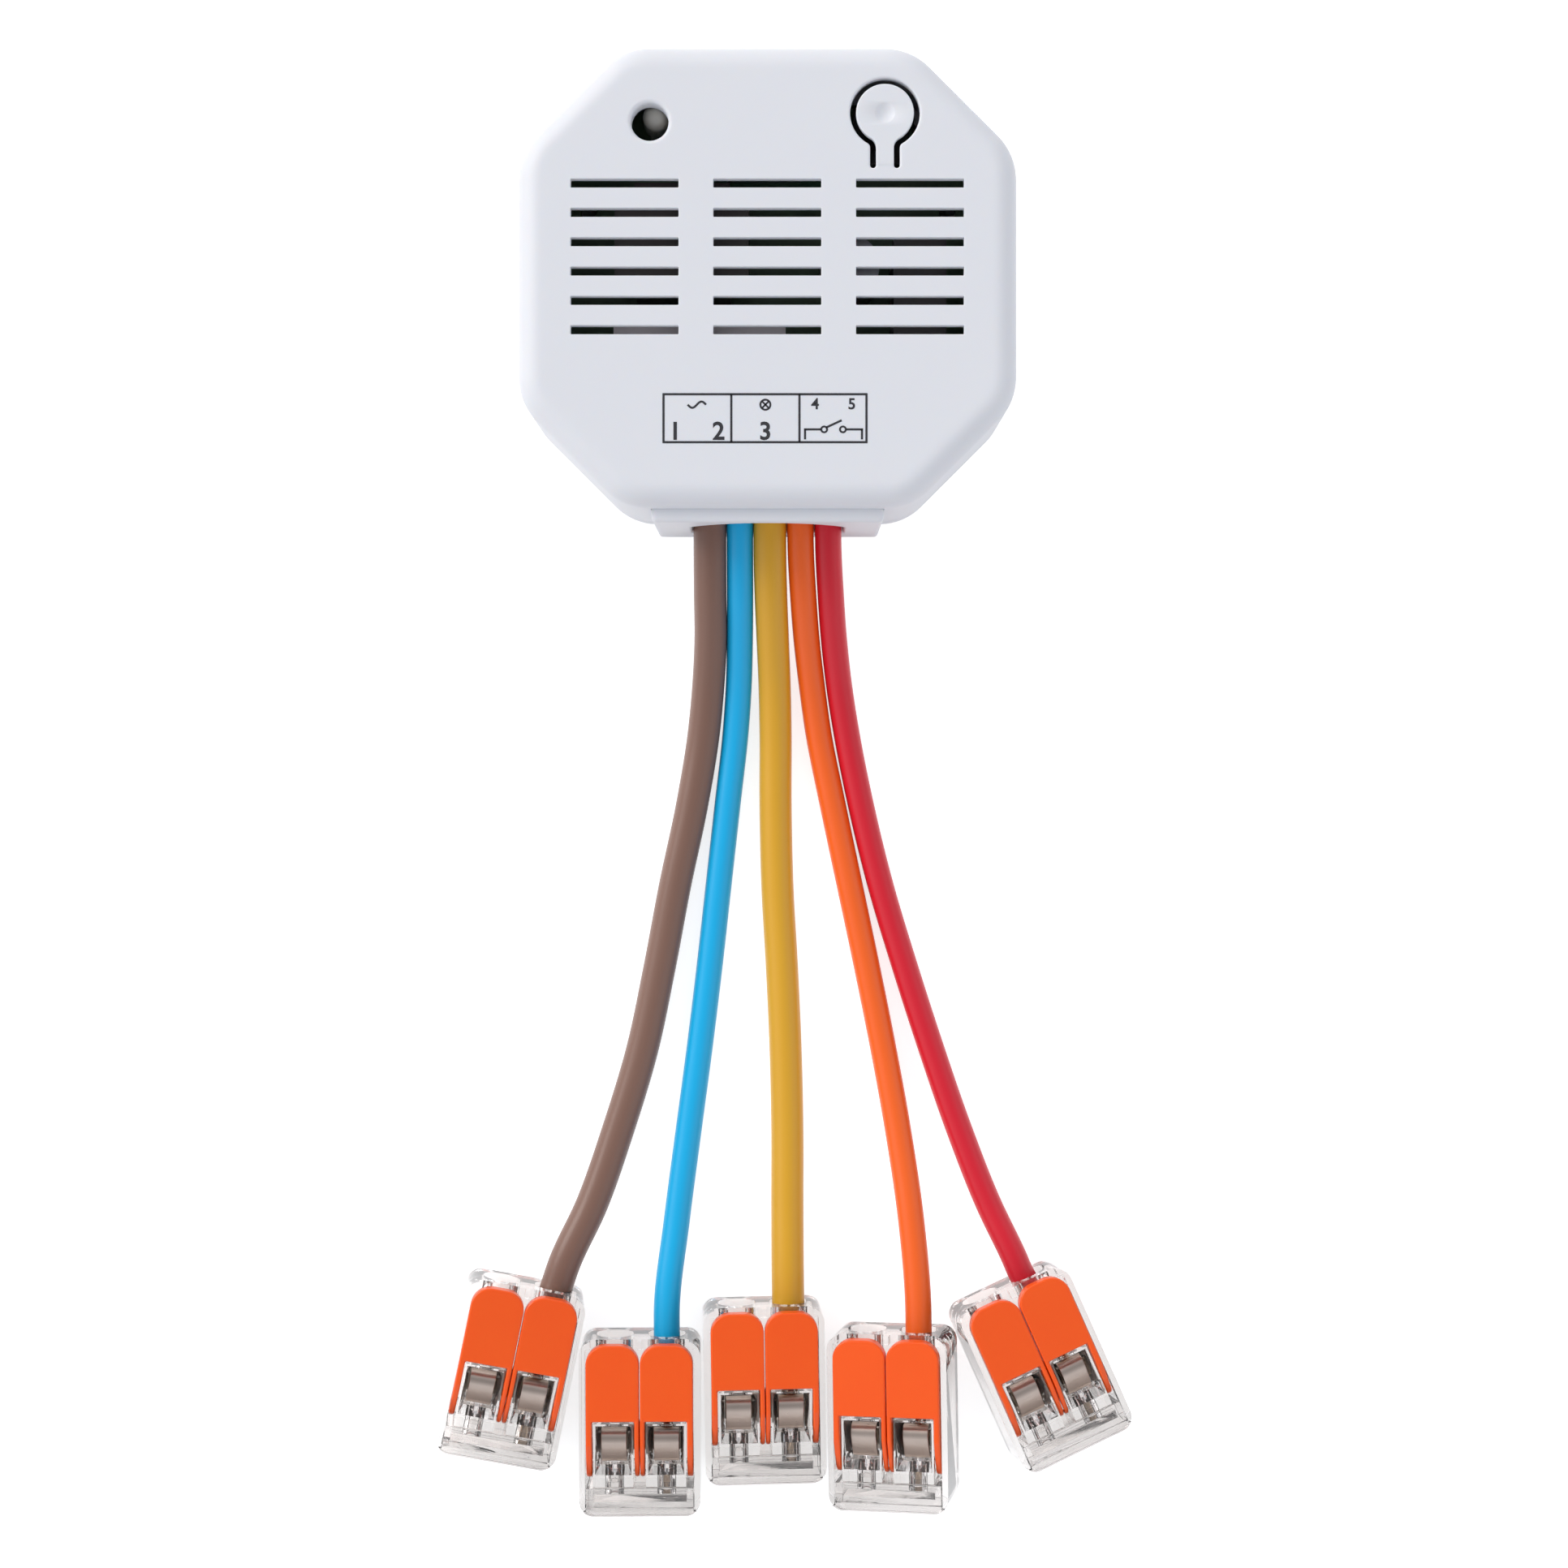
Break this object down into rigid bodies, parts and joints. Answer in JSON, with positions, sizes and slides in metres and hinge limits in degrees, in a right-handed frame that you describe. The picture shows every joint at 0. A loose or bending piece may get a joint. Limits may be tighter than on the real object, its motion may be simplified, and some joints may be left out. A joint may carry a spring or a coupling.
{
  "type": "smart relay module",
  "caption": "Flush-mount smart relay module: vented corner-cut case with push button and lamp hole, coloured leads from a collar, each ending in a two-way clear lever splice.",
  "frame": {"origin": "centre of the module's flat back face, which lies on the table", "axes": "+Z out of the module's front face, +Y away from the leads, +X to the right in the front view"},
  "size_m": [0.0758, 0.156, 0.02],
  "materials": {
    "case_plastic": "fine matte moulding",
    "board_laminate": "solder mask",
    "black_plastic": "moulded",
    "relay_shell": "moulded",
    "coil_copper": "enamelled wire",
    "soft_iron": "plated",
    "contact_metal": "plain",
    "ferrite": "plain",
    "can_aluminium": "drawn can",
    "film_case": "moulded",
    "fuse_body": "plain",
    "radio_laminate": "solder mask",
    "shield_tin": "tinned",
    "lamp_lens": "diffused",
    "brown_pvc": "satin",
    "blue_pvc": "satin",
    "yellow_pvc": "satin",
    "orange_pvc": "satin",
    "red_pvc": "satin",
    "tinned_strands": "stranded",
    "clear_polycarbonate": "clear",
    "lever_orange": "satin",
    "spring_steel": "bright",
    "tinned_copper": "tinned"
  },
  "bodies": {
    "module": {"front_cover": "case_plastic", "rear_case": "case_plastic", "circuit_board": "board_laminate", "relay_base": "black_plastic", "relay_cover": "relay_shell", "relay_coil": "coil_copper", "relay_yoke": "soft_iron", "relay_contacts": "contact_metal", "transformer": "ferrite", "smoothing_capacitor": "can_aluminium", "film_capacitor": "film_case", "fuse": "fuse_body", "radio_board": "radio_laminate", "radio_shield": "shield_tin", "tact_switch": "black_plastic", "status_led": "lamp_lens", "brown_lead": "brown_pvc", "brown_core": "tinned_strands", "brown_splice_housing": "clear_polycarbonate", "brown_splice_cap": "clear_polycarbonate", "brown_clamps": "spring_steel", "brown_busbar": "tinned_copper", "blue_lead": "blue_pvc", "blue_core": "tinned_strands", "blue_splice_housing": "clear_polycarbonate", "blue_splice_cap": "clear_polycarbonate", "blue_clamps": "spring_steel", "blue_busbar": "tinned_copper", "yellow_lead": "yellow_pvc", "yellow_core": "tinned_strands", "yellow_splice_housing": "clear_polycarbonate", "yellow_splice_cap": "clear_polycarbonate", "yellow_clamps": "spring_steel", "yellow_busbar": "tinned_copper", "orange_lead": "orange_pvc", "orange_core": "tinned_strands", "orange_splice_housing": "clear_polycarbonate", "orange_splice_cap": "clear_polycarbonate", "orange_clamps": "spring_steel", "orange_busbar": "tinned_copper", "red_lead": "red_pvc", "red_core": "tinned_strands", "red_splice_housing": "clear_polycarbonate", "red_splice_cap": "clear_polycarbonate", "red_clamps": "spring_steel", "red_busbar": "tinned_copper"},
    "button": {"button": "case_plastic"},
    "tact_plunger": {"tact_plunger": "black_plastic"},
    "relay_armature": {"relay_armature": "soft_iron"},
    "brown_lever_left": {"brown_lever_left": "lever_orange"},
    "brown_lever_right": {"brown_lever_right": "lever_orange"},
    "blue_lever_left": {"blue_lever_left": "lever_orange"},
    "blue_lever_right": {"blue_lever_right": "lever_orange"},
    "yellow_lever_left": {"yellow_lever_left": "lever_orange"},
    "yellow_lever_right": {"yellow_lever_right": "lever_orange"},
    "orange_lever_left": {"orange_lever_left": "lever_orange"},
    "orange_lever_right": {"orange_lever_right": "lever_orange"},
    "red_lever_left": {"red_lever_left": "lever_orange"},
    "red_lever_right": {"red_lever_right": "lever_orange"}
  },
  "joints": [
    {"name": "button_press", "type": "hinge", "parent": "module", "child": "button", "pos_m": [0.0122, 0.0112, 0.0196], "axis": [-1, 0, 0], "range_deg": [0, 3], "stiffness_Nm_per_rad": 0.16, "springref_deg": -0.57},
    {"name": "plunger_travel", "type": "slide", "parent": "module", "child": "tact_plunger", "axis": [0, 0, -1], "range_m": [0, 0.00035]},
    {"name": "armature_pull", "type": "hinge", "parent": "module", "child": "relay_armature", "pos_m": [-0.007, -0.0094, 0.01515], "axis": [0, -1, 0], "range_deg": [0, 3.8], "stiffness_Nm_per_rad": 0.002, "springref_deg": -2.86},
    {"name": "brown_lever_left_open", "type": "hinge", "parent": "module", "child": "brown_lever_left", "pos_m": [-0.03162, -0.12031, 0.00696], "axis": [0.9746, -0.1983, -0.1045], "range_deg": [0, 90]},
    {"name": "brown_lever_right_open", "type": "hinge", "parent": "module", "child": "brown_lever_right", "pos_m": [-0.02592, -0.12147, 0.00635], "axis": [0.9746, -0.1983, -0.1045], "range_deg": [0, 90]},
    {"name": "blue_lever_left_open", "type": "hinge", "parent": "module", "child": "blue_lever_left", "pos_m": [-0.01683, -0.12683, 0.00612], "axis": [0.9999, 0.0035, -0.0122], "range_deg": [0, 90]},
    {"name": "blue_lever_right_open", "type": "hinge", "parent": "module", "child": "blue_lever_right", "pos_m": [-0.01098, -0.12681, 0.00604], "axis": [0.9999, 0.0035, -0.0122], "range_deg": [0, 90]},
    {"name": "yellow_lever_left_open", "type": "hinge", "parent": "module", "child": "yellow_lever_left", "pos_m": [-0.00323, -0.12334, 0.00644], "axis": [0.9988, 0.0157, -0.0471], "range_deg": [0, 90]},
    {"name": "yellow_lever_right_open", "type": "hinge", "parent": "module", "child": "yellow_lever_right", "pos_m": [0.00261, -0.12325, 0.00616], "axis": [0.9988, 0.0157, -0.0471], "range_deg": [0, 90]},
    {"name": "orange_lever_left_open", "type": "hinge", "parent": "module", "child": "orange_lever_left", "pos_m": [0.01039, -0.12611, 0.00664], "axis": [0.9766, 0.0153, 0.2147], "range_deg": [0, 90]},
    {"name": "orange_lever_right_open", "type": "hinge", "parent": "module", "child": "orange_lever_right", "pos_m": [0.01611, -0.12602, 0.00789], "axis": [0.9766, 0.0153, 0.2147], "range_deg": [0, 90]},
    {"name": "red_lever_left_open", "type": "hinge", "parent": "module", "child": "red_lever_left", "pos_m": [0.02899, -0.12123, 0.00714], "axis": [0.9063, 0.4035, -0.1253], "range_deg": [0, 90]},
    {"name": "red_lever_right_open", "type": "hinge", "parent": "module", "child": "red_lever_right", "pos_m": [0.0343, -0.11887, 0.00641], "axis": [0.9063, 0.4035, -0.1253], "range_deg": [0, 90]}
  ],
  "couplings": [
    {"joint": "plunger_travel", "follows": "button_press", "m_per_rad": 0.0056}
  ]
}
